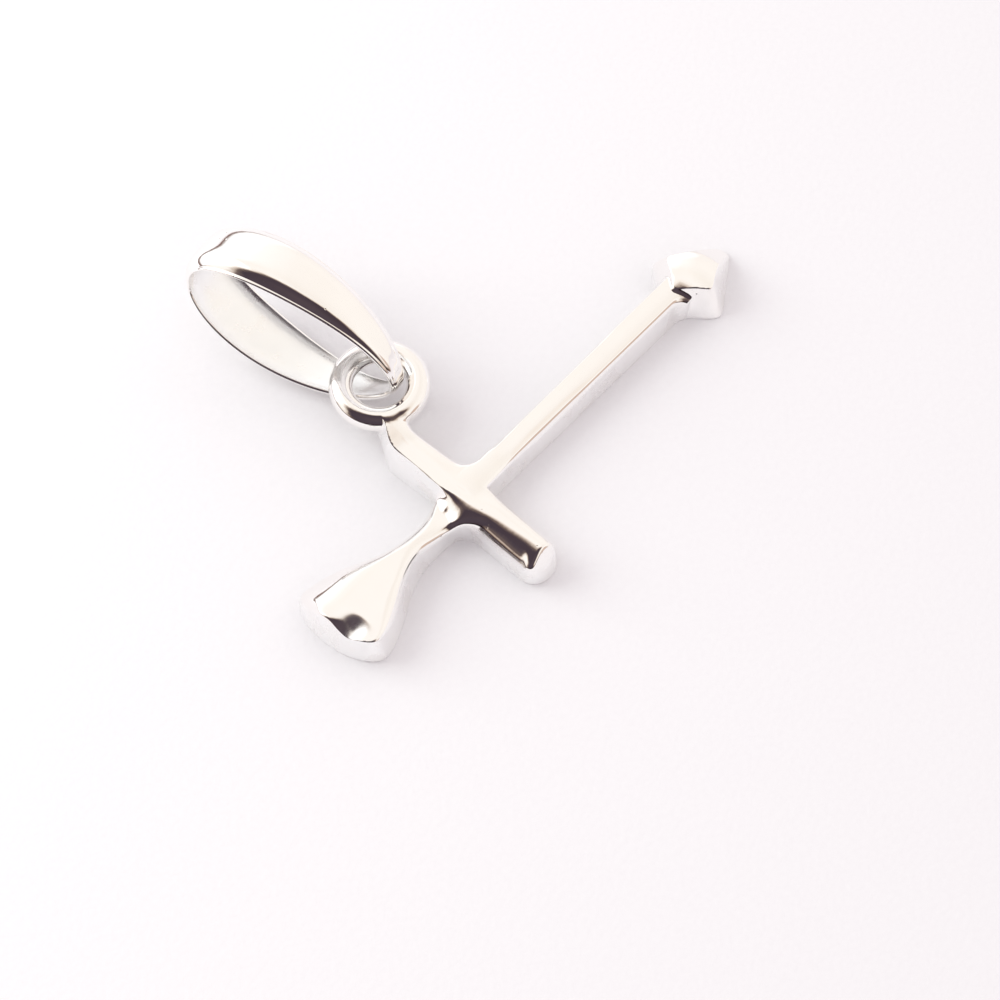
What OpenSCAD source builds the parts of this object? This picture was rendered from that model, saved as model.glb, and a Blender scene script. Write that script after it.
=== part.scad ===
// Zodiac pendant: a cast silver arrow with a crossbar, lying on its flat back, and a free chain loop.
// X runs along the arrow towards its head, Y along the crossbar towards the ring, Z up from the back.

/* [Arrow] */
// Distance from the crossing to the end of the tail
tail_length = 7.6; // [7:0.02:8]
// Width of the tail where it flares most
tail_width = 4.06; // [3.2:0.02:4.4]
// Width of the tail at its waist, beside the crossbar
tail_waist = 1.36; // [1.2:0.02:1.6]
// Distance from the crossing to the tip of the head
head_reach = 14.85; // [14:0.05:16]
// Length of the head from its shoulder to its tip
head_length = 3.35; // [3:0.05:3.8]
// Width of the head at its widest
head_width = 3.44; // [2.8:0.02:3.8]
// Width of the shaft where it leaves the crossbar
shaft_root_width = 1.14; // [1:0.02:1.3]
// Width of the shaft where it meets the head
shaft_head_width = 1.34; // [1.1:0.02:1.5]

/* [Crossbar] */
// Distance from the crossing to the free end of the crossbar
bar_drop = 4.28; // [3.8:0.02:4.8]
// Distance from the crossing to the neck that carries the ring
bar_rise = 3.3; // [3.1:0.05:3.4]
// Width of the crossbar below the crossing
bar_low_width = 1.66; // [1.4:0.02:1.8]
// Width of the crossbar above the crossing
bar_high_width = 1.42; // [1.3:0.02:1.6]

/* [Thickness] */
// Crown height of the crossbar over the flat back
bar_height = 1.45; // [1.3:0.05:1.6]
// Crown height of the shaft
shaft_height = 1.15; // [1:0.05:1.25]
// Crown height of the tail where it flares
tail_height = 1.3; // [1.15:0.05:1.4]
// Crown height of the head
head_height = 1.35; // [1.2:0.05:1.5]
// Height of the upright wall under the domed top
wall_height = 0.8; // [0.5:0.05:0.9]

/* [Ring] */
// Radius from the centre of the ring to the middle of its wire
ring_radius = 1.45; // [1.4:0.05:1.5]
// Thickness of the ring's wire
ring_wire = 0.86; // [0.7:0.02:0.88]
// Height of the ring's middle plane over the flat back
ring_lift = 1.35; // [1.3:0.05:1.4]

/* [Bail] */
// Length of the chain loop between the middles of its sheet
bail_length = 8.9; // [8.7:0.05:9.1]
// Depth of the chain loop between the middles of its two leaves
bail_depth = 4.98; // [4.8:0.02:5.1]
// Width of the sheet at its widest
bail_width = 2.72; // [2.4:0.02:2.9]
// Width of the sheet at its narrow end
bail_tip_width = 0.76; // [0.6:0.02:0.8]
// Thickness of the sheet
bail_sheet = 0.24; // [0.2:0.02:0.3]
// Rise of the sheet's arched section at its widest
bail_arch = 0.44; // [0.2:0.02:0.46]

/* [Hidden] */
silver = [0.87, 0.87, 0.86];

// Places
head_start = head_reach - head_length;
ring_centre = [1.02, 5.33, ring_lift];

// Middle line of the crossbar. Columns: place along it, how far it lies aside
bar_narrows = 0.8;
bar_axis = [[-bar_drop, -0.13], [bar_narrows, -0.09], [bar_rise, -0.21]];

// Neck, from the end of the crossbar into the ring's wire.
// Columns: x, y, turn of the section, half width, underside, crown
neck_sections = [[-0.21, bar_rise, 0, bar_high_width / 2, 0, bar_height],
                 [-0.08, 3.80, -14, 0.74, 0.15, bar_height + 0.1],
                 [0.22, 4.16, -28, 0.62, ring_lift - 0.42, ring_lift + 0.40]];

// Narrow end of the bail in plan, and how the bail lies: leaning aside, turned in plan and rising
bail_tip = [1.36, 4.72, 0];
bail_lean = 15;
bail_yaw = 10.3;
bail_pitch = 12;
bail_sharpness = 0.17;
// Share of the bail's length at which its sheet is widest
bail_widest = 0.77;
// How much faster the arch flattens than the sheet narrows
bail_flattens = 1.6;

// Most that the upright walls take of a section's height
wall_share = 0.6;
// Shape of the domed top: 1 for half an ellipse, and less for a fuller dome
dome_fullness = 0.8;

// Sampling
dome_steps = 14;
bail_stations = 64;
bail_section_steps = 6;
ring_around = 56;
ring_section = 16;
cap_shares = [0, 0.3, 0.5, 0.7, 0.82, 0.91, 0.97, 1];

// Where the tail starts to flare and where it is widest, from the crossing
flare_start = 2.4;
flare_end = tail_length - 0.8;
// Length over which the corners of the tail round off, and over which its crown falls
tail_corner = 0.6;
tail_roll_off = 1.7;
// Bow of the tail's end, per square millimetre aside of its furthest point
tail_bow = 0.1;
tail_bow_centre = 0.25;
tail_cap_power = 3;

// Fillets where the arrow leaves the crossbar
tail_near_fillet = 0.9;
tail_far_fillet = 0.45;
shaft_far_fillet = 0.7;
shaft_near_fillet = 0.15;

// Where the shaft dips in front of the head, and by how much
shoulder_dip = 0.5;
shoulder_drop = 0.06;

// Outline of the head. Columns: share of its length, share of its half width
head_outline = [[0, 0.40], [0.07, 0.56], [0.15, 0.80], [0.21, 0.94], [0.27, 1], [0.33, 0.98], [0.40, 0.91],
                [0.60, 0.63], [0.80, 0.35], [0.92, 0.18], [0.97, 0.11], [1, 0.05]];

// Crown of the head. Columns: share of its length, share of its crown height
head_crown = [[0, 0.80], [0.10, 0.86], [0.22, 0.96], [0.34, 1],
              [0.55, 0.96], [0.75, 0.84], [0.92, 0.66], [1, 0.48]];

// Crown along the tail. Columns: distance from the crossing, height
tail_rise = [[0, tail_height - 0.27], [1, tail_height - 0.27], [2.5, tail_height - 0.12], [4, tail_height]];

// Crown along the shaft near the crossing. Columns: distance, height
crossing_crown = [[0, bar_height - 0.12], [0.8, shaft_height + 0.14],
                  [1.8, shaft_height + 0.02], [3, shaft_height]];

function clamp(t) = min(max(t, 0), 1);
function ease(t) = (1 - cos(180 * clamp(t))) / 2;
function fillet(d, r) = d >= r ? 0 : r - sqrt(r * r - pow(r - max(d, 0), 2));
function round_off(s, power) = pow(1 - pow(clamp(s), power), 1 / power);

// Sides of the crossbar, where the tail and the shaft leave it
tail_root = bar_low_width / 2;
near_root = bar_low_width / 2 - 0.13;
far_root = bar_high_width / 2 - 0.1;

// Distances from the crossing at which the arrow and the crossbar have a section
tail_stations = concat([0], [for (k = [0:6]) tail_root + k / 6 * tail_near_fillet],
                       [1.8], [for (d = [flare_start:0.4:flare_end - 0.2]) d],
                       [for (share = cap_shares) tail_length - tail_corner * (1 - share)]);
shaft_stations = concat([0, far_root, near_root, 0.74, 0.79, 0.85, 0.95, 1.1, 1.3, 2, 4.5, 7, 9.5],
                        [head_start - shoulder_dip],
                        [for (row = head_outline) head_start + row[0] * head_length]);
bar_end_round = bar_low_width / 2;
low_stations = concat([0, 2], [for (share = cap_shares) bar_drop - bar_end_round * (1 - share)]);

function cap(d, reach, length, power, least) = max(round_off((d - reach + length) / length, power), least);

function tail_half(d, radius) = let (t = pow(clamp((d - flare_start) / (flare_end - flare_start)), 1.2))
    (tail_waist / 2 + (tail_width - tail_waist) / 2 * ease(t) + fillet(d - tail_root, radius))
    * cap(d, tail_length, tail_corner, tail_cap_power, 0.55);
function tail_crown(d) = wall_height
    + (lookup(d, tail_rise) - wall_height) * cap(d, tail_length, tail_roll_off, 2, 0.3);
function tail_bowed(d, y) = tail_bow * pow(y - tail_bow_centre, 2)
    * ease((d - flare_start) / (flare_end - flare_start));

function shaft_half(d, root, radius) = d < head_start
    ? shaft_root_width / 2 + (shaft_head_width - shaft_root_width) / 2 * d / head_start
      + fillet(d - root, radius)
    : head_width / 2 * lookup((d - head_start) / head_length, head_outline);
function shaft_crown(d) = d < head_start - shoulder_dip ? lookup(d, crossing_crown)
    : d < head_start ? shaft_height - shoulder_drop
    : head_height * lookup((d - head_start) / head_length, head_crown);

function low_half(d) = bar_low_width / 2 * cap(d, bar_drop, bar_end_round, 2.3, 0.2);
function low_crown(d) = wall_height + (bar_height - wall_height) * cap(d, bar_drop, bar_end_round, 2, 0.15);

// One section, as [across, up], from its near to its far side: a domed top over two short upright walls
function dome(near, far, base, crown) = let (wall = base + min(wall_height, (crown - base) * wall_share))
    concat([[-near, base]],
           [for (i = [0:dome_steps]) let (a = 180 - 180 * i / dome_steps, aside = abs(cos(a)))
               [(a > 90 ? -near : far) * pow(aside, dome_fullness),
                wall + (crown - wall) * pow(max(sin(a), 0), dome_fullness)]],
           [[far, base]]);

// Sections across the tail and the shaft at a distance from the crossing, and across the crossbar at y
function across_tail(d) = [for (p = dome(tail_half(d, tail_near_fillet), tail_half(d, tail_far_fillet), 0,
                                         tail_crown(d)))
    [-d + tail_bowed(d, p[0]), p[0], p[1]]];
function across_shaft(d) = [for (p = dome(shaft_half(d, near_root, shaft_near_fillet),
    shaft_half(d, far_root, shaft_far_fillet), 0, shaft_crown(d))) [d, p[0], p[1]]];
function across_bar(y, half, crown) = [for (p = dome(half, half, 0, crown))
    [lookup(y, bar_axis) + p[0], y, p[1]]];
// A section across the neck, from a row of its table
function across_neck(row) = [for (p = dome(row[3], row[3], row[4], row[5]))
    [row[0] + p[0] * cos(row[2]), row[1] + p[0] * sin(row[2]), p[1]]];

module between(first, second) {
    points = concat(first, second);
    hull() polyhedron(points = points, faces = [[for (i = [0:len(points) - 1]) i]]);
}

module loft(sections) {
    for (i = [0:len(sections) - 2]) between(sections[i], sections[i + 1]);
}

module tail() {
    loft([for (d = tail_stations) across_tail(d)]);
}

module shaft_and_head() {
    loft([for (d = shaft_stations) across_shaft(d)]);
}

module crossbar() {
    loft([for (d = low_stations) across_bar(-d, low_half(d), low_crown(d))]);
    loft([across_bar(0, bar_low_width / 2, bar_height),
          across_bar(bar_narrows, bar_high_width / 2, bar_height),
          across_bar(bar_rise, bar_high_width / 2, bar_height)]);
}

module neck() {
    loft([for (row = neck_sections) across_neck(row)]);
}

module ring() {
    translate(ring_centre) rotate_extrude($fn = ring_around)
        translate([ring_radius, 0]) circle(d = ring_wire, $fn = ring_section);
}

// The loop's own directions: along it, out through its upper leaf, and across its sheet
along = [-sin(bail_yaw) * cos(bail_pitch), cos(bail_yaw) * cos(bail_pitch), sin(bail_pitch)];
flat = cross(along, [0, 0, 1]) / norm(cross(along, [0, 0, 1]));
upright = cross(flat, along);
leaf = cos(bail_lean) * upright + sin(bail_lean) * flat;
across = cos(bail_lean) * flat - sin(bail_lean) * upright;

function loop_along(t) = bail_length / 2 * (1 - cos(t));
function loop_out(t) = bail_depth / 2 * sin(t) * pow(max(abs(sin(t / 2)), 0.001), bail_sharpness);
function loop_point(t) = along * loop_along(t) + leaf * loop_out(t);
function loop_outward(t) = let (n = cross(across, loop_point(t + 1) - loop_point(t - 1))) n / norm(n);
function sheet_width(t) = bail_tip_width
    + (bail_width - bail_tip_width) * sin(90 * loop_along(t) / bail_length / bail_widest);

// One closed section of the sheet: its outer arc, then its inner arc back
function sheet_section(t) =
    let (w = sheet_width(t), rise = bail_arch * pow(w / bail_width, bail_flattens),
         out = loop_outward(t), mid = loop_point(t))
    concat([for (i = [0:bail_section_steps]) let (s = 2 * i / bail_section_steps - 1)
                mid + across * (s * w / 2) + out * (bail_sheet / 2 - rise * s * s)],
           [for (i = [0:bail_section_steps]) let (s = 1 - 2 * i / bail_section_steps)
                mid + across * (s * w / 2) - out * (bail_sheet / 2 + rise * s * s)]);

bail_loose = [for (k = [0:bail_stations - 1]) each sheet_section((k + 0.5) * 360 / bail_stations)];
bail_lift = -min([for (p = bail_loose) p[2]]);
bail_points = [for (p = bail_loose) p + bail_tip + [0, 0, bail_lift]];
ring_of_points = 2 * (bail_section_steps + 1);
bail_faces = [for (k = [0:bail_stations - 1], j = [0:ring_of_points - 1])
    let (a = k * ring_of_points, b = ((k + 1) % bail_stations) * ring_of_points,
         n = (j + 1) % ring_of_points)
        [a + j, b + j, b + n, a + n]];

// The origin is under the middle of the whole pendant
low_x = min([for (d = tail_stations) for (p = across_tail(d)) p[0]]);
high_y = max([for (p = bail_points) p[1]]);
to_origin = [-(low_x + head_reach) / 2, -(high_y - bar_drop) / 2, 0];

module glyph() {
    color(silver) translate(to_origin) {
        tail();
        shaft_and_head();
        crossbar();
        neck();
        ring();
    }
}

module bail() {
    color(silver) translate(to_origin)
        polyhedron(points = bail_points, faces = bail_faces, convexity = 6);
}

glyph();
bail();
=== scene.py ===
"""Zodiac pendant of polished silver on pale paper: a cast archer's arrow with a ring, and a free bail."""

import math

import bpy
import numpy as np
import openvdb
from mathutils import Matrix, Vector


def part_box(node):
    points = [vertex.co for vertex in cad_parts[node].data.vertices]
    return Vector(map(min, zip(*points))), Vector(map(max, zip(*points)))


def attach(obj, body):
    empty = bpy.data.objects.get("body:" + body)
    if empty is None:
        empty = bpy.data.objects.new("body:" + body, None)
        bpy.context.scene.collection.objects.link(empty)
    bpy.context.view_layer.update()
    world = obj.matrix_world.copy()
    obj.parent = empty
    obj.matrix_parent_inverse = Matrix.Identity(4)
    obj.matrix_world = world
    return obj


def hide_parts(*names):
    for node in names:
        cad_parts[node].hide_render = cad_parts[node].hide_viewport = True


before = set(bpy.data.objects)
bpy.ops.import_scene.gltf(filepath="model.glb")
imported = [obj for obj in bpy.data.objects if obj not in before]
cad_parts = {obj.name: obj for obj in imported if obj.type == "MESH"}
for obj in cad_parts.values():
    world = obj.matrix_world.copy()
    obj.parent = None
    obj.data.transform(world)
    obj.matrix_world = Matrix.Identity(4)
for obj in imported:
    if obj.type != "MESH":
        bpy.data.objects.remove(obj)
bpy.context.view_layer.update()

# Sizes are in millimetres, in the pendant's own directions: the crossing of arrow and crossbar is the
# zero point, x runs along the arrow to its head, y along the crossbar to the ring, z up from the back.
# The camera looks from smaller x and y, so these are the near sides. A slope is a fall in mm for each mm.
# A run is a start and a length, and something grows or fades along it. STEEP is a slope that takes a top
# or an outline out of the way of the others.
MM = 0.001
STEEP = 3

# Blurs that round the corners of the tables below
BLUR_REACH = 1.6
BLUR_TAPS = 9
AXIS_BLUR = 0.15
SLOPE_BLUR = 0.2
EDGE_BLUR = 0.3
NEAR_LEAN_BLUR = 0.4
FAR_LEAN_BLUR = 0.3

# Tail of the arrow: outline. Its places are distances from the crossing
TAIL_LENGTH = 7.6
TAIL_WIDTH = 4.06
TAIL_WAIST = 1.36
TAIL_FLARE_RUN = (2.2, 5.1)
TAIL_FLARE_EXCESS = 1.08
TAIL_BOW = 0.1
TAIL_BOW_MIDDLE = 0.25
TAIL_END_ROUND = 0.8
TAIL_CORNER_POWER = 3
TAIL_INTO_CROSSING = 0.2

# Tail of the arrow: top. The crowns are falls for each square mm beside the middle
TAIL_WAIST_HEIGHT = 1.02
TAIL_CLIMB = 0.30
TAIL_CLIMB_RUN = (1.0, 3.0)
TAIL_NEAR_CROWN = 0.03
TAIL_FAR_CROWN = 0.17
TAIL_FAR_RUN = (-0.1, 0.6)
TAIL_ROLL = 0.03
TAIL_ROLL_RUN = (6.5, 1.2)
TAIL_SIDE_SLOPE = 1.5
TAIL_SIDE_MARGIN = 0.1

# Hollow at the tail's end, which gets deeper and spreads to the far side
HOLLOW_PLACE = -0.8
HOLLOW_DEPTH = 0.19
HOLLOW_SPREAD = 0.38
HOLLOW_RUN = (6.2, 0.8)
HOLLOW_END_DEPTH = 0.085
HOLLOW_END_DEPTH_RUN = (6.9, 0.8)
HOLLOW_END_SPREAD = 0.46
HOLLOW_END_SPREAD_RUN = (6.8, 0.8)

# Arrowhead. Its back and front facets face along a direction in the plan, at a distance from the peak.
# The scale turns the plan, which runs from 0 to 1, into mm
HEAD_REACH = 14.85
HEAD_LENGTH = 3.35
HEAD_START = HEAD_REACH - HEAD_LENGTH
HEAD_PEAK = 12.78
HEAD_BACK = (-0.753, 0.658)
HEAD_BACK_DISTANCE = 1.56
HEAD_FRONT = (0.575, 0.819)
HEAD_FRONT_DISTANCE = 1.36
HEAD_CORNER_POWER = 8
HEAD_MIDDLE_ROUND = 0.15
HEAD_SCALE = 1.35
HEAD_DOME_HEIGHT = 1.38
HEAD_DOME_TOP = 12.4
HEAD_DOME_CROWN = 0.24
HEAD_SIDE_CROWN = 0.14
HEAD_SIDE_DIFFERENCE = 0.06
HEAD_SKIRT_SLOPE = 2.25
HEAD_SKIRT_FOOT = 0.05
HEAD_SKIRT_RIDGE = 0.02

# Shaft
SHAFT_ROOT_WIDTH = 1.14
SHAFT_HEAD_WIDTH = 1.34
SHAFT_INTO_HEAD = 0.9
SHAFT_HEIGHT = 1.15
SHAFT_ROOT_GAIN = 0.13
SHAFT_ROOT_RUN = (0, 2.6)
SHAFT_TILT = 0.10
SHAFT_FAR_CAMBER = 0.08
SHAFT_NEAR_CAMBER = 0.20
SHAFT_MORE_CAMBER = 0.22
SHAFT_CAMBER_GROWS = (2.2, 1.5)
SHAFT_CAMBER_FADES = (5.0, 2.0)
SHAFT_CAMBER_LIMIT = 1.1
BEVEL_WIDTH = 0.13
BEVEL_SLOPE = 1.3
BEVEL_RUN = (1.5, 1.0)
SHAFT_OVERLAP = 0.4
SHAFT_OVERLAP_SLOPE = 2
BESIDE_HEAD_SLOPE = 5
BESIDE_HEAD_RUN = (8.5, 2)
BAR_END_CLEARANCE = 1.3
CLEARANCE_FADES = (8, 2)

# Crossbar. Each row of a table has a place along the bar and its value there
BAR_DROP = 4.28
BAR_LOW_WIDTH = 1.66
BAR_HIGH_WIDTH = 1.42
BAR_NECK_WIDTH = 1.12
BAR_WIDTHS = [(-0.8, BAR_LOW_WIDTH), (0.8, BAR_HIGH_WIDTH), (3.0, BAR_HIGH_WIDTH), (4.2, BAR_NECK_WIDTH)]
BAR_TOP_END = 4.15
BAR_END_POWER = 2.3
BAR_AXIS = [(-4.6, -0.13), (0.8, -0.09), (3.1, -0.2), (4.2, 0.26)]
BAR_CREST = 1.42
BAR_CREST_GAIN = 0.34
BAR_CREST_RUN = (2.6, 1.6)
BAR_EDGE_ROLL = 0.02
NEAR_EDGE = [
    (-4.3, -0.15), (-3.2, -0.18), (-1.6, -0.36), (-0.69, -0.57),
    (0.5, -0.62), (2.25, -0.56), (3.3, -0.6), (4.2, 0.0)]
NEAR_SLOPE = [(-4.3, 0.55), (-0.5, 0.50), (0.2, 0.9), (0.8, 2.6), (4.2, 2.6)]
FAR_EDGE = 0.35
FAR_SLOPE = [(-4.3, 1.0), (-1.3, 0.9), (-0.6, 0.3), (0.9, 0.3), (1.7, 0.7), (4.2, 0.7)]
BAR_END_START = -3.72
BAR_END_SLOPE = 2.0
NEAR_RIDGE = 0.14
NEAR_RIDGE_SHARPER = 0.10
NEAR_RIDGE_RUN = (0.3, 0.6)
FAR_RIDGE = 0.25
BAR_END_RIDGE = 0.22

# Neck and ring
RING_CENTRE = (1.02, 5.33, 1.35)
RING_RADIUS = 1.45
RING_WIRE = 0.86
NECK_START = 3.45
NECK_END = 4.6
NECK_SLOPE = 1.3
NECK_LIFT = 0.7

# How far the walls lean inwards for each mm of height, by place along the arrow
NEAR_LEAN = [(-7.8, 0.30), (-2.6, 0.30), (-1.3, 0.08), (0.8, 0.08), (2.2, 0.24), (11.5, 0.30), (15, 0.15)]
FAR_LEAN = [(-7.8, 0.32), (-2.0, 0.32), (-0.9, 0.0), (15, 0.0)]
NEAR_SIDE_RUN = (-0.2, 0.6)

# Rounding between top and walls. A run that is called a tailward or low one counts against x or y
EDGE_ROUND = 0.16
TAIL_ROUND = 0.18
TAIL_ROUND_TAILWARD_RUN = (0.9, 1.0)
TAIL_FAR_ROUND = 0.20
TAIL_FAR_ROUND_RUN = (0.1, 0.6)
TAIL_CORNER_ROUND = 0.35
TAIL_CORNER_TAILWARD_RUN = (4.5, 2.0)
TAIL_END_SHARPER = 0.10
TAIL_END_TAILWARD_RUN = (5.0, 2.0)
TAIL_END_FADES = (0.3, 0.9)
BAR_FLANK_ROUND = 0.32
FLANK_TAILWARD_RUN = (0.1, 0.4)
FLANK_ALONG_RUN = (-1.4, 0.3)
FLANK_LOW_RUN = (0.8, 0.8)
FLANK_UP_RUN = (-3.8, 0.6)
ARM_SIDE_ROUND = 0.08
ARM_SIDE_RUN = (0.5, 0.5)
BEVEL_ROUND = 0.05
BEVEL_ROUND_RUN = (1.3, 1.0)
BEVEL_ROUND_FADES = (10.6, 0.8)
BEVEL_SIDE_RUN = (0.1, 0.3)

# Reach of the fillets in the outline, and of the valleys between the tops. Above is towards the ring
BAR_FILLET = 0.95
BAR_FILLET_LESS_ABOVE = 0.5
HEAD_FILLET = 0.25
SHAFT_FILLET = 0.18
SHAFT_FILLET_MORE_ABOVE = 0.6
SHAFT_FILLET_FADES = (4, 2)
FILLETS_ABOVE_RUN = (-0.5, 1.0)
TAIL_VALLEY = 0.14
TAIL_VALLEY_MORE_ABOVE = 0.16
VALLEY_ABOVE_RUN = (-0.1, 0.4)
HEAD_VALLEY = 0.13
SHAFT_VALLEY = 0.30
RING_VALLEY = 0.16
NECK_EDGE = 0.08
SOLDER_VALLEY = 0.10

# Mesh of the cast sign. The scales keep the field's slope near 1
TOP_SCALE = 0.85
UNDERSIDE_SCALE = 0.7
GLYPH_LOW = (-7.8, -4.5, -0.15)
GLYPH_HIGH = (15.1, 7.5, 1.95)
GLYPH_CELL = 0.047
SETTLING_STEPS = 4
SETTLING_REACH = 0.004
NORMAL_REACH = 0.012
NOT_ZERO = 1e-9

# Where the cast sign is satin
SATIN_TURN = (0.32, 0.2)
SATIN_OFF_RING = 0.1
HOLLOW_SATIN = 0.9
HOLLOW_SATIN_SPREAD = 0.6
HOLLOW_SATIN_RUN = (6.0, 0.8)

# Bail
BAIL_LENGTH = 8.9
BAIL_DEPTH = 4.9
BAIL_WIDTH = 2.72
BAIL_TIP_WIDTH = 0.88
BAIL_SHEET = 0.24
BAIL_ARCH = 0.37
BAIL_INNER_ARCH = 0.7
BAIL_ARCH_POWER = 5
BAIL_WIDEST = 0.77
BAIL_FLATTENS = 1.6
BAIL_TIP = (1.36, 4.72)
BAIL_LEAN = math.radians(15)
BAIL_YAW = math.radians(10.3)
BAIL_PITCH = math.radians(12)
BAIL_SHARPNESS = 0.17
BAIL_STEP = 0.01
BAIL_STATIONS = 420
BAIL_ACROSS_STEPS = 26
BAIL_EDGE_STEPS = 8

# Directions in the photo and in the room around it
IMAGE_RIGHT = (0.673, -0.7396, 0)
AWAY = (0.7396, 0.673, 0)
WINDOW = (0.9755, -0.2198, 0)
DOOR = (0.3537, -0.9162, 0.1908)

# Camera
CAMERA_ELEVATION = math.radians(63)
CAMERA_AIM = (1.00, -0.76, 0)
CAMERA_DISTANCE = 120
SENSOR_WIDTH = 36
LENS_PER_SENSOR = 3.24

# Silver. The noises have so many cells to a metre, and the depths are shares of the bump
SILVER = (0.985, 0.965, 0.945)
CLOUD_SHADE = 0.985
POLISHED_TONES = [(0.3, tuple(part * CLOUD_SHADE for part in SILVER)), (0.7, SILVER)]
SATIN_TONES = [(0.36, (0.97, 0.96, 0.945)), (0.5, (1.0, 1.0, 0.995))]
CLOUD_ROUGHNESS = 0.08
MARK_ROUGHNESS = 0.04
SATIN_ROUGHNESS = 0.6
SATIN_LEAST_ROUGHNESS = 0.02
CLOUD_CELLS = 900
WAVE_CELLS = 420
MARK_CELLS = 8000
MARK_STRETCH = 18
MARK_DEPTH = 0.03
PIT_CELLS = 3600
PIT_SHARPNESS = 6
PIT_RARITY = 0.64
PIT_DEPTH = 0.15
SILVER_BUMP = 0.00003
CAST_MARKS_ANGLE = 0
SHEET_MARKS_ANGLE = 80

# Paper
PAPER_CELLS = 4200
PAPER_TONES = [(0.3, (0.930, 0.910, 0.924)), (0.7, (0.944, 0.926, 0.938))]
PAPER_ROUGHNESS = 0.9
PAPER_SHEEN = 0.1
PAPER_BUMP = 0.000012
FLOOR_HALF_SIDE = 0.6

# Room. Its stops run by half the distance from the person's middle, by height over the horizon and to the
# right. An edge has a slope and an offset: its light climbs from 0 to 1 as slope * place + offset does
SOFT_LIGHT = (0.80, 0.762, 0.78)
CREAM = (0.955, 0.907, 0.855)
PALE_CREAM = (0.96, 0.92, 0.885)
PERSON = [
    (0.0, (0.085, 0.065, 0.08)), (0.39, (0.06, 0.045, 0.06)), (0.455, (0.16, 0.12, 0.11)),
    (0.48, (0.60, 0.52, 0.46)), (0.53, (0.96, 0.93, 0.90)), (0.60, (1.0, 1.0, 1.0))]
DIM_SIDE = [
    (0.0, (0.22, 0.13, 0.11)), (0.09, (0.17, 0.12, 0.10)), (0.16, (0.90, 0.82, 0.76)),
    (0.30, (1.0, 0.97, 0.94)), (0.55, (1.0, 0.985, 0.965)), (0.80, CREAM), (1.0, PALE_CREAM)]
PALE_SIDE = [(0.0, (0.97, 0.93, 0.90)), (0.5, (1.0, 0.96, 0.92)), (0.80, CREAM), (1.0, PALE_CREAM)]
TO_THE_RIGHT = [(0.05, (1, 1, 1)), (0.30, (0.95, 0.94, 0.93))]
BRIGHT_WALL = (1.05, 1.05, 1.05)
BRIGHT_PANE = (1.15, 1.15, 1.15)
DOOR_BROWN = (0.60, 0.45, 0.37)
PERSON_MIDDLE = (-0.10, -0.55)
PERSON_SIZE = (0.78, 0.72)
PANE_MIDDLE = (-0.80, 0.38)
PANE_SIZE = (0.5, 0.5)
WINDOW_EDGE = (2.2, -0.75)
HORIZON_EDGE = (14, -0.5)
WALL_EDGE = (14, -11.2)
PANE_EDGE = (-8, 8)
DOOR_EDGE = (60, -58.6)
UNEVEN_CELLS = 2.2
UNEVEN_SHARE = 0.35
UNEVEN_HORIZON = 0.3
WALL_SLANT = -0.4
ROOM_STRENGTH = 1.08

# Key light, in metres from the middle of the pendant
KEY_LEFT = 0.11
KEY_AWAY = 0.035
KEY_HEIGHT = 0.065
KEY_SIZE = 0.11
KEY_POWER = 0.088
KEY_COLOUR = (0.92, 1, 0.96)

CROSSING = Vector((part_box("glyph")[0].x / MM + TAIL_LENGTH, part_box("glyph")[0].y / MM + BAR_DROP, 0))


def ease(t):
    """Smooth step from 0 to 1."""
    t = np.clip(t, 0, 1)
    return t * t * t * (t * (6 * t - 15) + 10)


def rise(place, run):
    """0 before a run, 1 after it and smooth between."""
    start, length = run
    return ease((place - start) / length)


def past(place, start):
    """How far a place is past a start, and 0 before it."""
    return np.clip(place - start, 0, None)


def blurred(x, table, blur):
    """Straight lines between the rows of a table, with rounded corners."""
    at, values = zip(*table)
    taps = np.linspace(-BLUR_REACH, BLUR_REACH, BLUR_TAPS)
    weights = np.exp(-taps**2)
    weights = weights / weights.sum()
    return sum(w * np.interp(x + tap * blur, at, values) for w, tap in zip(weights, taps))


def joined(a, b, reach):
    """Union of two fields with a rounded valley of that reach."""
    h = np.clip(0.5 + 0.5 * (b - a) / reach, 0, 1)
    return b + (a - b) * h - reach * h * (1 - h)


def cut(a, b, reach):
    """Intersection of two fields with a rounded edge of that reach."""
    return -joined(-a, -b, reach)


def raised(a, b, reach):
    """The higher of two surfaces, with a rounded valley of that reach."""
    return -joined(-a, -b, reach)


def lowered(a, b, reach):
    """The lower of two surfaces, with a rounded ridge of that reach."""
    return joined(a, b, reach)


def tail_flare(d):
    """0 at the tail's waist and 1 near its end."""
    return rise(d, TAIL_FLARE_RUN)


def tail_half(d):
    """Half the tail's width. The excess makes up for its rounded corners."""
    return TAIL_WAIST / 2 + (TAIL_WIDTH - TAIL_WAIST) / 2 * TAIL_FLARE_EXCESS * tail_flare(d)


def tail_outline(x, y):
    """Below zero inside the tail's outline, whose sides and bowed end meet in rounded corners."""
    d = -x
    half = tail_half(d)
    bow = TAIL_BOW * (y - TAIL_BOW_MIDDLE) ** 2 * tail_flare(d)
    end = past(d + bow, TAIL_LENGTH - TAIL_END_ROUND) / TAIL_END_ROUND
    side = (np.abs(y) / half) ** TAIL_CORNER_POWER
    plan = (side + end**TAIL_CORNER_POWER + NOT_ZERO) ** (1 / TAIL_CORNER_POWER)
    share = side / plan**TAIL_CORNER_POWER
    beyond_crossing = STEEP * past(x, -TAIL_INTO_CROSSING)
    return (plan - 1) * (half * share + TAIL_END_ROUND * (1 - share)) + beyond_crossing


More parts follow.
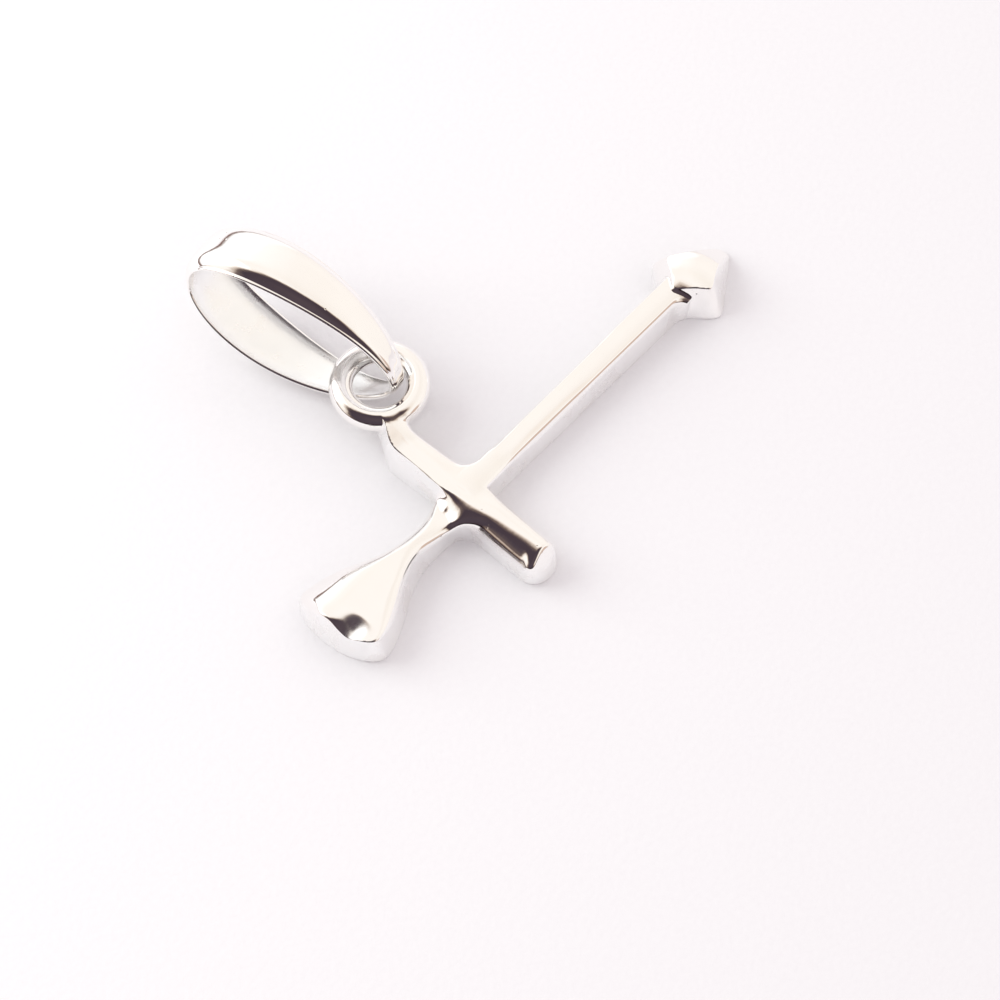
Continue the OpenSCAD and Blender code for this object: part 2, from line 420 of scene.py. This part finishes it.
def tail_hollow(d, y):
    """Depth of the hollow at the tail's end."""
    widening = HOLLOW_END_SPREAD * rise(d, HOLLOW_END_SPREAD_RUN)
    spread = np.where(y > HOLLOW_PLACE, HOLLOW_SPREAD + widening, HOLLOW_SPREAD)
    depth = HOLLOW_DEPTH * rise(d, HOLLOW_RUN) + HOLLOW_END_DEPTH * rise(d, HOLLOW_END_DEPTH_RUN)
    return depth * np.exp(-(((y - HOLLOW_PLACE) / spread) ** 2))


def tail_top(x, y):
    """Height of the tail's top, which climbs from the waist to the end."""
    d = -x
    crown = (TAIL_NEAR_CROWN + TAIL_FAR_CROWN * rise(y, TAIL_FAR_RUN)) * y**2
    level = TAIL_WAIST_HEIGHT + TAIL_CLIMB * rise(d, TAIL_CLIMB_RUN) - crown
    beyond = past(np.abs(y), tail_half(d) + TAIL_SIDE_MARGIN) + past(x, 0)
    roll = TAIL_ROLL * rise(d, TAIL_ROLL_RUN)
    return level - TAIL_SIDE_SLOPE * beyond - roll - tail_hollow(d, y)


def shaft_half(x):
    """Half the shaft's width, which grows a little towards the head."""
    growth = (SHAFT_HEAD_WIDTH - SHAFT_ROOT_WIDTH) * np.clip(x / HEAD_START, 0, 1)
    return (SHAFT_ROOT_WIDTH + growth) / 2


def shaft_outline(x, y):
    """Below zero inside the shaft's outline."""
    ends = np.maximum(x - HEAD_START - SHAFT_INTO_HEAD, -x)
    return np.maximum(np.abs(y) - shaft_half(x), ends)


def shaft_top(x, y):
    """Height of the shaft's top: cambered, tilted a little to the near side, with a bevel on its far edge."""
    half = shaft_half(x)
    crown = SHAFT_HEIGHT + SHAFT_ROOT_GAIN * (1 - rise(x, SHAFT_ROOT_RUN))
    in_camber = rise(x, SHAFT_CAMBER_GROWS) * (1 - rise(x, SHAFT_CAMBER_FADES))
    camber = np.where(y > 0, SHAFT_FAR_CAMBER, SHAFT_NEAR_CAMBER + SHAFT_MORE_CAMBER * in_camber)
    u = np.clip(np.abs(y) / half, 0, SHAFT_CAMBER_LIMIT)
    tilt = SHAFT_TILT * np.clip(y, -half, half)
    bevel = BEVEL_SLOPE * past(y, half - BEVEL_WIDTH) * rise(x, BEVEL_RUN)
    return crown + tilt - camber * u**2 - bevel - shaft_falls(x, y)


def shaft_falls(x, y):
    """Steep falls that keep the shaft's top clear of the tail, the head and the crossbar's free end."""
    ends = STEEP * past(-x, 0) ** 2 + SHAFT_OVERLAP_SLOPE * past(x, HEAD_START + SHAFT_OVERLAP)
    beside_head = BESIDE_HEAD_SLOPE * past(np.abs(y), shaft_half(x)) * rise(x, BESIDE_HEAD_RUN)
    beside_bar = STEEP * past(-y, BAR_END_CLEARANCE) * (1 - rise(x, CLEARANCE_FADES))
    return ends + beside_head + beside_bar


def head_plan(x, y):
    """0 at the head's highest point and 1 on its kite-shaped outline."""
    ahead = x - HEAD_PEAK
    aside = np.sqrt(y**2 + HEAD_MIDDLE_ROUND**2)
    back = past(HEAD_BACK[0] * ahead + HEAD_BACK[1] * aside, 0) / HEAD_BACK_DISTANCE
    front = past(HEAD_FRONT[0] * ahead + HEAD_FRONT[1] * aside, 0) / HEAD_FRONT_DISTANCE
    return (back**HEAD_CORNER_POWER + front**HEAD_CORNER_POWER) ** (1 / HEAD_CORNER_POWER)


def head_outline(x, y):
    """Below zero inside the head's outline."""
    return (head_plan(x, y) - 1) * HEAD_SCALE


def head_top(x, y):
    """A low dome that a steep skirt cuts off all round."""
    side_crown = HEAD_SIDE_CROWN + HEAD_SIDE_DIFFERENCE * np.sign(y)
    dome = HEAD_DOME_HEIGHT - HEAD_DOME_CROWN * (x - HEAD_DOME_TOP) ** 2 - side_crown * y**2
    skirt = HEAD_SKIRT_FOOT - HEAD_SKIRT_SLOPE * head_outline(x, y)
    return lowered(dome, skirt, HEAD_SKIRT_RIDGE)


def bar_outline(x, y):
    """Below zero inside the outline of the crossbar and the neck, with a round free end."""
    half = np.interp(y, *zip(*BAR_WIDTHS)) / 2
    end_round = BAR_LOW_WIDTH / 2
    low = past(-y, BAR_DROP - end_round) / end_round
    plan = np.sqrt(((x - blurred(y, BAR_AXIS, AXIS_BLUR)) / half) ** 2 + low**BAR_END_POWER)
    return np.maximum((plan - 1) * half, y - BAR_TOP_END)


def bar_top(x, y):
    """Height of the crossbar's top: a flat crest with a near and a far flank, and a steep free end."""
    crest = BAR_CREST + BAR_CREST_GAIN * rise(y, BAR_CREST_RUN)
    near_edge = blurred(y, NEAR_EDGE, EDGE_BLUR)
    near = crest - BAR_EDGE_ROLL - blurred(y, NEAR_SLOPE, SLOPE_BLUR) * (near_edge - x)
    far = crest - BAR_EDGE_ROLL - blurred(y, FAR_SLOPE, SLOPE_BLUR) * (x - FAR_EDGE)
    end = crest - BAR_END_SLOPE * (BAR_END_START - y)
    top = lowered(crest, near, NEAR_RIDGE - NEAR_RIDGE_SHARPER * rise(y, NEAR_RIDGE_RUN))
    return lowered(lowered(top, far, FAR_RIDGE), end, BAR_END_RIDGE)


def glyph_outline(x, y):
    """Below zero inside the sign's outline on the surface that it lies on."""
    above = rise(y, FILLETS_ABOVE_RUN)
    away_from_head = 1 - rise(x, SHAFT_FILLET_FADES)
    sign = joined(tail_outline(x, y), bar_outline(x, y), BAR_FILLET - BAR_FILLET_LESS_ABOVE * above)
    arrow = joined(shaft_outline(x, y), head_outline(x, y), HEAD_FILLET)
    return joined(sign, arrow, SHAFT_FILLET + SHAFT_FILLET_MORE_ABOVE * above * away_from_head)


def glyph_top(x, y):
    """Height of the sign's top."""
    above = rise(y, VALLEY_ABOVE_RUN)
    tail_and_bar = raised(tail_top(x, y), bar_top(x, y), TAIL_VALLEY + TAIL_VALLEY_MORE_ABOVE * above)
    shaft_and_head = raised(shaft_top(x, y), head_top(x, y), HEAD_VALLEY)
    return raised(tail_and_bar, shaft_and_head, SHAFT_VALLEY)


def edge_rounding(x, y):
    """Reach of the rounding between the sign's top and its walls."""
    at_end = rise(-x, TAIL_END_TAILWARD_RUN) * (1 - rise(y, TAIL_END_FADES))
    on_tail = rise(-x, TAIL_ROUND_TAILWARD_RUN) * (1 - at_end)
    at_corner = TAIL_CORNER_ROUND * rise(-x, TAIL_CORNER_TAILWARD_RUN)
    far_tail = (TAIL_FAR_ROUND + at_corner) * rise(y, TAIL_FAR_ROUND_RUN)
    on_low_bar = rise(-y, FLANK_LOW_RUN) * rise(y, FLANK_UP_RUN)
    on_flank = rise(-x, FLANK_TAILWARD_RUN) * rise(x, FLANK_ALONG_RUN) * on_low_bar
    on_arm_side = rise(np.abs(y), ARM_SIDE_RUN) * (1 - at_end)
    rounding = EDGE_ROUND + on_tail * (TAIL_ROUND + far_tail) - TAIL_END_SHARPER * at_end
    rounding = rounding + BAR_FLANK_ROUND * on_flank + ARM_SIDE_ROUND * on_arm_side
    beside_bevel = rise(x, BEVEL_ROUND_RUN) * (1 - rise(x, BEVEL_ROUND_FADES)) * rise(y, BEVEL_SIDE_RUN)
    return rounding + (BEVEL_ROUND - rounding) * beside_bevel


def wall_lean(x, y):
    """How far the sign's walls lean inwards for each mm of height."""
    near_side = rise(-y, NEAR_SIDE_RUN)
    near_lean = blurred(x, NEAR_LEAN, NEAR_LEAN_BLUR)
    return near_side * near_lean + (1 - near_side) * blurred(x, FAR_LEAN, FAR_LEAN_BLUR)


def ring(x, y, z):
    """Below zero inside the ring's wire."""
    ring_plan = np.hypot(x - RING_CENTRE[0], y - RING_CENTRE[1])
    return np.hypot(ring_plan - RING_RADIUS, z - RING_CENTRE[2]) - RING_WIRE / 2


def glyph_field(x, y, z):
    """Below zero inside the cast sign with its neck and ring, and about the distance outside it."""
    walls = glyph_outline(x, y) + wall_lean(x, y) * z
    body = cut(TOP_SCALE * (z - glyph_top(x, y)), walls, edge_rounding(x, y))
    body = joined(body, ring(x, y, z), RING_VALLEY)
    underside = np.clip(NECK_SLOPE * (y - NECK_START), 0, NECK_LIFT)
    body = cut(body, UNDERSIDE_SCALE * (np.where(y < NECK_END, underside, 0) - z), NECK_EDGE)
    return joined(body, ring(x, y, z), SOLDER_VALLEY)


def satin_share(x, y, z, upward):
    """1 where the cast sign is satin, on its walls and in the tail's hollow, and 0 where it is polished."""
    walls = (1 - rise(upward, SATIN_TURN)) * (ring(x, y, z) > SATIN_OFF_RING)
    in_hollow = np.exp(-(((y - HOLLOW_PLACE) / HOLLOW_SATIN_SPREAD) ** 2)) * rise(-x, HOLLOW_SATIN_RUN)
    return np.maximum(walls, HOLLOW_SATIN * in_hollow)


def gradient(field, points, reach):
    """Slope of the field at each point, from its values at that reach on both sides."""
    return np.stack([
        field(*(points + offset).T) - field(*(points - offset).T) for offset in np.eye(3) * reach
    ], axis=1) / (2 * reach)


def surface(field, low, high, cell):
    """Points and quads of the closed surface where the field is zero."""
    axes = [np.arange(a, b + cell, cell) for a, b in zip(low, high)]
    x, y, z = np.meshgrid(*axes, indexing="ij", sparse=True)
    grid = openvdb.FloatGrid()
    grid.copyFromArray(np.ascontiguousarray(field(x, y, z), dtype=np.float32))
    points, quads = grid.convertToQuads(0.0)
    points = points.astype(float) * cell + np.array([a[0] for a in axes])
    for _ in range(SETTLING_STEPS):
        value, slope = field(*points.T), gradient(field, points, SETTLING_REACH)
        step = value[:, None] * slope / (np.sum(slope**2, axis=1, keepdims=True) + NOT_ZERO)
        points -= np.clip(step, -cell / 2, cell / 2)
    return points, quads


def bail_directions():
    """Unit vectors along the bail, out through its upper leaf and across its sheet."""
    level = math.cos(BAIL_PITCH)
    along = np.array((-math.sin(BAIL_YAW) * level, math.cos(BAIL_YAW) * level, math.sin(BAIL_PITCH)))
    flat = np.cross(along, (0, 0, 1))
    flat /= np.linalg.norm(flat)
    upright = np.cross(flat, along)
    leaf = math.cos(BAIL_LEAN) * upright + math.sin(BAIL_LEAN) * flat
    across = math.cos(BAIL_LEAN) * flat - math.sin(BAIL_LEAN) * upright
    return along, leaf, across


def bail_middle(angle):
    """Middle line of the sheet at an angle round the loop: how far along the bail, and how far out."""
    pointed = np.abs(np.sin(angle / 2)) ** BAIL_SHARPNESS
    return BAIL_LENGTH / 2 * (1 - np.cos(angle)), BAIL_DEPTH / 2 * np.sin(angle) * pointed


def bail_section():
    """Points round the sheet's section: outer arc, rounded edge, inner arc and the other rounded edge.

    Each point has its place across the sheet from -1 to 1, its way out of the edge's centre, and its side,
    from 1 on the outer face to -1 on the inner one.
    """
    spots = np.sin(np.linspace(-math.pi / 2, math.pi / 2, BAIL_ACROSS_STEPS))
    turns = np.radians(np.linspace(90, -90, BAIL_EDGE_STEPS + 2)[1:-1])
    outer_arc = [(s, 0.0, 1.0) for s in spots]
    edge = [(1.0, math.cos(a), math.sin(a)) for a in turns]
    inner_arc = [(s, 0.0, -1.0) for s in spots[::-1]]
    other_edge = [(-1.0, -math.cos(a), math.sin(a)) for a in turns[::-1]]
    return outer_arc + edge + inner_arc + other_edge


def loop_quads(stations, around):
    """Quads of a closed loop of sections, each with so many points around it."""
    quads = []
    for k in range(stations):
        here = k * around
        following = (k + 1) % stations * around
        for j in range(around):
            beside = (j + 1) % around
            quads.append((here + j, here + beside, following + beside, following + j))
    return quads


def bail_shape():
    """Points and quads of the closed loop of arched sheet, and 1 for each point of its inner face."""
    along, leaf, across = bail_directions()
    t = (np.arange(BAIL_STATIONS) + 0.5) * 2 * math.pi / BAIL_STATIONS
    u, v = bail_middle(t)
    ahead, behind = bail_middle(t + BAIL_STEP), bail_middle(t - BAIL_STEP)
    travel = (ahead[0] - behind[0])[:, None] * along + (ahead[1] - behind[1])[:, None] * leaf
    outward = np.cross(across, travel)
    outward /= np.linalg.norm(outward, axis=1, keepdims=True)
    taper = np.sin(math.pi / 2 * u / BAIL_LENGTH / BAIL_WIDEST)
    width = BAIL_TIP_WIDTH + (BAIL_WIDTH - BAIL_TIP_WIDTH) * taper
    arch = BAIL_ARCH * (width / BAIL_WIDTH) ** BAIL_FLATTENS
    edge_round = BAIL_SHEET / 2
    centre = u[:, None] * along + v[:, None] * leaf
    section = bail_section()
    rows = []
    for s, beyond, side in section:
        aside = s * (width / 2 - edge_round) + beyond * edge_round
        arched = BAIL_INNER_ARCH + (1 - BAIL_INNER_ARCH) * (side + 1) / 2
        lift = side * edge_round - arched * arch * abs(s) ** BAIL_ARCH_POWER
        rows.append(centre + aside[:, None] * across + lift[:, None] * outward)
    points = np.stack(rows, axis=1).reshape(-1, 3)
    points += np.array((*BAIL_TIP, -points[:, 2].min()))
    inside = [1.0 if side < 0 and beyond == 0 else 0.0 for s, beyond, side in section]
    return points, loop_quads(BAIL_STATIONS, len(section)), inside * BAIL_STATIONS


class Shading:
    """The nodes of a material or world. Most calls add a node and give its output socket.

    A mix node has its numbers at sockets 2 and 3 and its colours at 6 and 7.
    """

    def __init__(self, owner):
        owner.use_nodes = True
        self.nodes = owner.node_tree.nodes
        self.links = owner.node_tree.links

    def feed(self, socket, value):
        """Sets a socket to a number or a colour, or links another socket to it."""
        if isinstance(value, (int, float)):
            socket.default_value = value
        elif isinstance(value, tuple):
            socket.default_value = (*value, 1)
        else:
            self.links.new(value, socket)

    def place(self, kind):
        return self.nodes.new("ShaderNodeTexCoord").outputs[kind]

    def noise(self, place, cells, detail):
        """Noise between 0 and 1, with so many cells to a unit of length."""
        node = self.nodes.new("ShaderNodeTexNoise")
        node.inputs["Scale"].default_value = cells
        node.inputs["Detail"].default_value = detail
        self.links.new(place, node.inputs["Vector"])
        return node.outputs["Fac"]

    def number(self, operation, *values):
        node = self.nodes.new("ShaderNodeMath")
        node.operation = operation
        for socket, value in zip(node.inputs, values):
            self.feed(socket, value)
        return node.outputs["Value"]

    def climb(self, value, slope, offset):
        """A slope times a value plus an offset, held between 0 and 1."""
        line = self.number("MULTIPLY_ADD", value, slope, offset)
        return self.number("MINIMUM", self.number("MAXIMUM", line, 0), 1)

    def part_along(self, direction, axis):
        """How much of a direction runs along an axis."""
        node = self.nodes.new("ShaderNodeVectorMath")
        node.operation = "DOT_PRODUCT"
        self.links.new(direction, node.inputs[0])
        node.inputs[1].default_value = axis
        return node.outputs["Value"]

    def blend(self, factor, a, b):
        """Two numbers mixed."""
        node = self.nodes.new("ShaderNodeMix")
        for index, value in ((0, factor), (2, a), (3, b)):
            self.feed(node.inputs[index], value)
        return node.outputs[0]

    def mix(self, kind, factor, a, b):
        """Two colours mixed."""
        node = self.nodes.new("ShaderNodeMix")
        node.data_type = "RGBA"
        node.blend_type = kind
        for index, value in ((0, factor), (6, a), (7, b)):
            self.feed(node.inputs[index], value)
        return node.outputs[2]

    def ramp(self, value, stops):
        """Colour ramp. Each stop has a place and a colour."""
        node = self.nodes.new("ShaderNodeValToRGB")
        elements = node.color_ramp.elements
        while len(elements) < len(stops):
            elements.new(0.5)
        for element, (place, colour) in zip(elements, stops):
            element.position = place
            element.color = (*colour, 1)
        self.links.new(value, node.inputs["Fac"])
        return node.outputs["Color"]

    def bump(self, shader, height, distance):
        node = self.nodes.new("ShaderNodeBump")
        node.inputs["Distance"].default_value = distance
        self.links.new(height, node.inputs["Height"])
        self.links.new(node.outputs["Normal"], shader.inputs["Normal"])


def polishing_marks(tree, place, angle):
    """Long thin lines at an angle over the surface, as a polishing wheel leaves them."""
    turned = tree.nodes.new("ShaderNodeMapping")
    turned.vector_type = "TEXTURE"
    turned.inputs["Rotation"].default_value = (0, 0, math.radians(angle))
    turned.inputs["Scale"].default_value = (MARK_STRETCH, 1, 1)
    tree.links.new(place, turned.inputs["Vector"])
    return tree.noise(turned.outputs["Vector"], MARK_CELLS, detail=2)


def small_pits(tree, place):
    """A few small round pits, 1 in the middle of a pit and 0 beside it."""
    cells = tree.nodes.new("ShaderNodeTexVoronoi")
    cells.inputs["Scale"].default_value = PIT_CELLS
    tree.links.new(place, cells.inputs["Vector"])
    depth = tree.number("MULTIPLY_ADD", cells.outputs["Distance"], -PIT_SHARPNESS, 1)
    depth = tree.number("MAXIMUM", depth, 0)
    chosen = tree.number("GREATER_THAN", cells.outputs["Color"], PIT_RARITY)
    return tree.number("MULTIPLY", depth, chosen)


def silver(name, marks_angle):
    """Mirror-polished silver with faint waves, polishing marks and pits, and satin where the mesh says so."""
    material = bpy.data.materials.new(name)
    tree = Shading(material)
    shader = tree.nodes["Principled BSDF"]
    shader.inputs["Metallic"].default_value = 1.0
    place = tree.place("Object")
    cloud = tree.noise(place, CLOUD_CELLS, detail=4)
    marks = polishing_marks(tree, place, marks_angle)
    satin = tree.nodes.new("ShaderNodeAttribute")
    satin.attribute_name = "satin"
    polished_tone = tree.ramp(cloud, POLISHED_TONES)
    satin_tone = tree.ramp(cloud, SATIN_TONES)
    tone = tree.mix("MIX", satin.outputs["Fac"], polished_tone, satin_tone)
    polished_roughness = tree.number("MULTIPLY", cloud, CLOUD_ROUGHNESS)
    polished_roughness = tree.number("MULTIPLY_ADD", marks, MARK_ROUGHNESS, polished_roughness)
    satin_roughness = tree.number("MULTIPLY_ADD", cloud, SATIN_ROUGHNESS, SATIN_LEAST_ROUGHNESS)
    roughness = tree.blend(satin.outputs["Fac"], polished_roughness, satin_roughness)
    tree.links.new(tone, shader.inputs["Base Color"])
    tree.links.new(roughness, shader.inputs["Roughness"])
    waves = tree.noise(place, WAVE_CELLS, detail=1.5)
    height = tree.number("MULTIPLY_ADD", marks, MARK_DEPTH, waves)
    height = tree.number("MULTIPLY_ADD", small_pits(tree, place), -PIT_DEPTH, height)
    tree.bump(shader, height, SILVER_BUMP)
    return material


def paper():
    """Pale paper with a faint grain."""
    material = bpy.data.materials.new("paper")
    tree = Shading(material)
    shader = tree.nodes["Principled BSDF"]
    grain = tree.noise(tree.place("Object"), PAPER_CELLS, detail=5)
    tree.links.new(tree.ramp(grain, PAPER_TONES), shader.inputs["Base Color"])
    shader.inputs["Roughness"].default_value = PAPER_ROUGHNESS
    shader.inputs["Specular IOR Level"].default_value = PAPER_SHEEN
    tree.bump(shader, grain, PAPER_BUMP)
    return material


def add_object(name, data):
    """An object of its own in the scene."""
    thing = bpy.data.objects.new(name, data)
    bpy.context.scene.collection.objects.link(thing)
    return thing


def add_piece(name, points, quads, material, satin, normals=None):
    """A smooth mesh from points in the pendant's own millimetres, with its share of satin at each point."""
    mesh = bpy.data.meshes.new(name)
    placed = (points + np.array(CROSSING)) * MM
    mesh.from_pydata(placed.tolist(), [], quads)
    mesh.materials.append(material)
    mesh.validate()
    mesh.shade_smooth()
    if normals is not None:
        mesh.normals_split_custom_set_from_vertices(normals.tolist())
    satin_at_points = mesh.attributes.new("satin", "FLOAT", "POINT")
    satin_at_points.data.foreach_set("value", np.asarray(satin, dtype=np.float32))
    return add_object(name, mesh)


def make_glyph():
    """The cast sign with its neck and ring."""
    points, quads = surface(glyph_field, GLYPH_LOW, GLYPH_HIGH, GLYPH_CELL)
    normals = gradient(glyph_field, points, NORMAL_REACH)
    normals /= np.linalg.norm(normals, axis=1, keepdims=True)
    satin = satin_share(*points.T, normals[:, 2])
    material = silver("cast_silver", CAST_MARKS_ANGLE)
    return add_piece("silver_glyph", points, quads.tolist(), material, satin, normals)


def make_bail():
    """The free loop of sheet that a chain runs through."""
    points, quads, inside = bail_shape()
    return add_piece("silver_bail", points, quads, silver("sheet_silver", SHEET_MARKS_ANGLE), inside)


def make_floor():
    """The paper that the pendant lies on."""
    mesh = bpy.data.meshes.new("floor")
    corners = [(x * FLOOR_HALF_SIDE, y * FLOOR_HALF_SIDE, 0) for x, y in ((-1, -1), (1, -1), (1, 1), (-1, 1))]
    mesh.from_pydata(corners, [], [(0, 1, 2, 3)])
    mesh.materials.append(paper())
    add_object("floor", mesh)


def make_camera():
    """The photo's view: 63 degrees over the surface, with the crossing's arms along the image's diagonals."""
    right = Vector(IMAGE_RIGHT).normalized()
    level = -Vector(AWAY).normalized()
    back = level * math.cos(CAMERA_ELEVATION) + Vector((0, 0, math.sin(CAMERA_ELEVATION)))
    camera = add_object("camera", bpy.data.cameras.new("camera"))
    camera.matrix_world = Matrix((right, back.cross(right), back)).transposed().to_4x4()
    camera.location = (CROSSING + Vector(CAMERA_AIM) + back * CAMERA_DISTANCE) * MM
    camera.data.sensor_width = SENSOR_WIDTH
    camera.data.lens = SENSOR_WIDTH * LENS_PER_SENSOR
    camera.data.clip_start = 0.005
    camera.data.clip_end = 10
    bpy.context.scene.camera = camera


def make_key_light():
    """A soft light from the left of the picture. Polished faces don't show it."""
    data = bpy.data.lights.new("key", "AREA")
    data.shape = "DISK"
    data.size = KEY_SIZE
    data.energy = KEY_POWER
    data.color = KEY_COLOUR
    light = add_object("key", data)
    left = -Vector(IMAGE_RIGHT).normalized()
    light.location = left * KEY_LEFT + Vector(AWAY) * KEY_AWAY + Vector((0, 0, KEY_HEIGHT))
    light.visible_glossy = False
    light.rotation_mode = "QUATERNION"
    light.rotation_quaternion = (-light.location).to_track_quat("-Z", "Y")


def oval(tree, aside, ahead, middle, size):
    """How far a direction is from an oval's middle, 1 on its outline."""
    across = tree.number("DIVIDE", tree.number("SUBTRACT", aside, middle[0]), size[0])
    along = tree.number("DIVIDE", tree.number("SUBTRACT", ahead, middle[1]), size[1])
    squares = (tree.number("MULTIPLY", part, part) for part in (across, along))
    return tree.number("SQRT", tree.number("ADD", *squares))


def empty_room(tree, direction, aside, height, uneven):
    """Cream ceiling over a horizon that is dim on one side and pale towards the window."""
    level = tree.number("ADD", height, tree.number("MULTIPLY", uneven, UNEVEN_HORIZON))
    window = tree.climb(tree.part_along(direction, WINDOW), *WINDOW_EDGE)
    room = tree.mix("MIX", window, tree.ramp(level, DIM_SIDE), tree.ramp(level, PALE_SIDE))
    return tree.mix("MULTIPLY", 1.0, room, tree.ramp(aside, TO_THE_RIGHT))


def make_world():
    """Bright room, and the dark shape of whoever stands at the camera."""
    world = bpy.data.worlds.new("studio")
    bpy.context.scene.world = world
    tree = Shading(world)
    direction = tree.place("Generated")
    cloud = tree.noise(direction, UNEVEN_CELLS, detail=3)
    uneven = tree.number("MULTIPLY_ADD", cloud, UNEVEN_SHARE, -UNEVEN_SHARE / 2)
    aside = tree.part_along(direction, IMAGE_RIGHT)
    ahead = tree.part_along(direction, AWAY)
    height = tree.part_along(direction, (0, 0, 1))
    room = empty_room(tree, direction, aside, height, uneven)
    # A bright wall straight ahead, beyond the top of the picture
    above_horizon = tree.climb(height, *HORIZON_EDGE)
    far_off = tree.number("MULTIPLY_ADD", aside, WALL_SLANT, tree.number("ADD", ahead, uneven))
    wall = tree.number("MULTIPLY", tree.climb(far_off, *WALL_EDGE), above_horizon)
    room = tree.mix("MIX", wall, room, BRIGHT_WALL)
    # The window that lights the scene, to the left of the picture
    pane = tree.climb(oval(tree, aside, ahead, PANE_MIDDLE, PANE_SIZE), *PANE_EDGE)
    room = tree.mix("MIX", tree.number("MULTIPLY", pane, above_horizon), room, BRIGHT_PANE)
    # A small brown door to the lower right
    door = tree.climb(tree.part_along(direction, DOOR), *DOOR_EDGE)
    room = tree.mix("MIX", door, room, DOOR_BROWN)
    # The person at the camera
    reach = tree.number("ADD", oval(tree, aside, ahead, PERSON_MIDDLE, PERSON_SIZE), uneven)
    person = tree.ramp(tree.number("MULTIPLY", reach, 0.5), PERSON)
    seen = tree.mix("MULTIPLY", 1.0, person, room)
    # Even light from all sides on what isn't polished
    rays = tree.nodes.new("ShaderNodeLightPath")
    shown = tree.mix("MIX", rays.outputs["Is Diffuse Ray"], seen, SOFT_LIGHT)
    background = tree.nodes["Background"]
    tree.links.new(shown, background.inputs["Color"])
    background.inputs["Strength"].default_value = ROOM_STRENGTH


for piece, node, slot in ((make_glyph(), "glyph", "cast_silver"), (make_bail(), "bail", "sheet_silver")):
    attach(piece, "root")
    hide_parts(node)

make_floor()
make_camera()
make_world()
make_key_light()
bpy.context.scene.view_settings.view_transform = "Standard"
